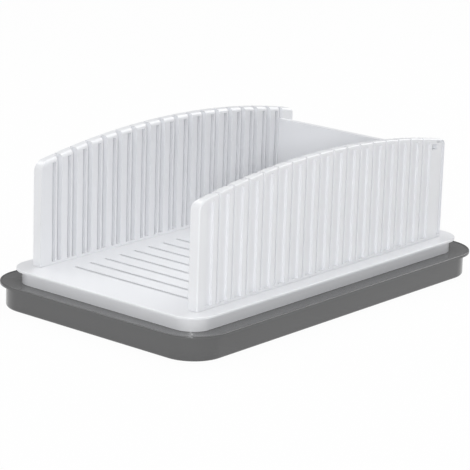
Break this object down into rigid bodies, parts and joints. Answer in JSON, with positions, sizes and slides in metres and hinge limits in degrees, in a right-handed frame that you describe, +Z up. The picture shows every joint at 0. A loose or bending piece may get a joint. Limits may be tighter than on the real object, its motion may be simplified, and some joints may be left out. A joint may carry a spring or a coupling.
{
  "type": "bread slicer guide",
  "caption": "Bread slicer guide: slotted walls that steer a knife stand on a deck over a crumb tray, with a back panel that stops the loaf.",
  "frame": {"origin": "on the table, under the middle of the tray", "axes": "+X along the loaf from the open front to the back panel, +Y to the left wall, +Z up"},
  "size_m": [0.335, 0.204, 0.1186],
  "materials": {
    "tray_plastic": "satin dark grey moulding",
    "white_plastic": "smooth white moulding",
    "foot_rubber": "matt black"
  },
  "bodies": {
    "tray": {"crumb_tray": "tray_plastic", "foot_front_left": "foot_rubber", "foot_front_right": "foot_rubber", "foot_back_left": "foot_rubber", "foot_back_right": "foot_rubber"},
    "deck": {"deck": "white_plastic"},
    "left_wall": {"left_wall": "white_plastic"},
    "right_wall": {"right_wall": "white_plastic"},
    "back_panel": {"back_panel": "white_plastic"}
  },
  "joints": [
    {"name": "deck_lift", "type": "slide", "parent": "tray", "child": "deck", "axis": [0, 0, 1], "range_m": [0, 0.03]},
    {"name": "left_wall_lift", "type": "slide", "parent": "deck", "child": "left_wall", "axis": [0, 0, 1], "range_m": [0, 0.02]},
    {"name": "right_wall_lift", "type": "slide", "parent": "deck", "child": "right_wall", "axis": [0, 0, 1], "range_m": [0, 0.02]},
    {"name": "back_panel_lift", "type": "slide", "parent": "deck", "child": "back_panel", "axis": [0, 0, 1], "range_m": [0, 0.08]}
  ]
}
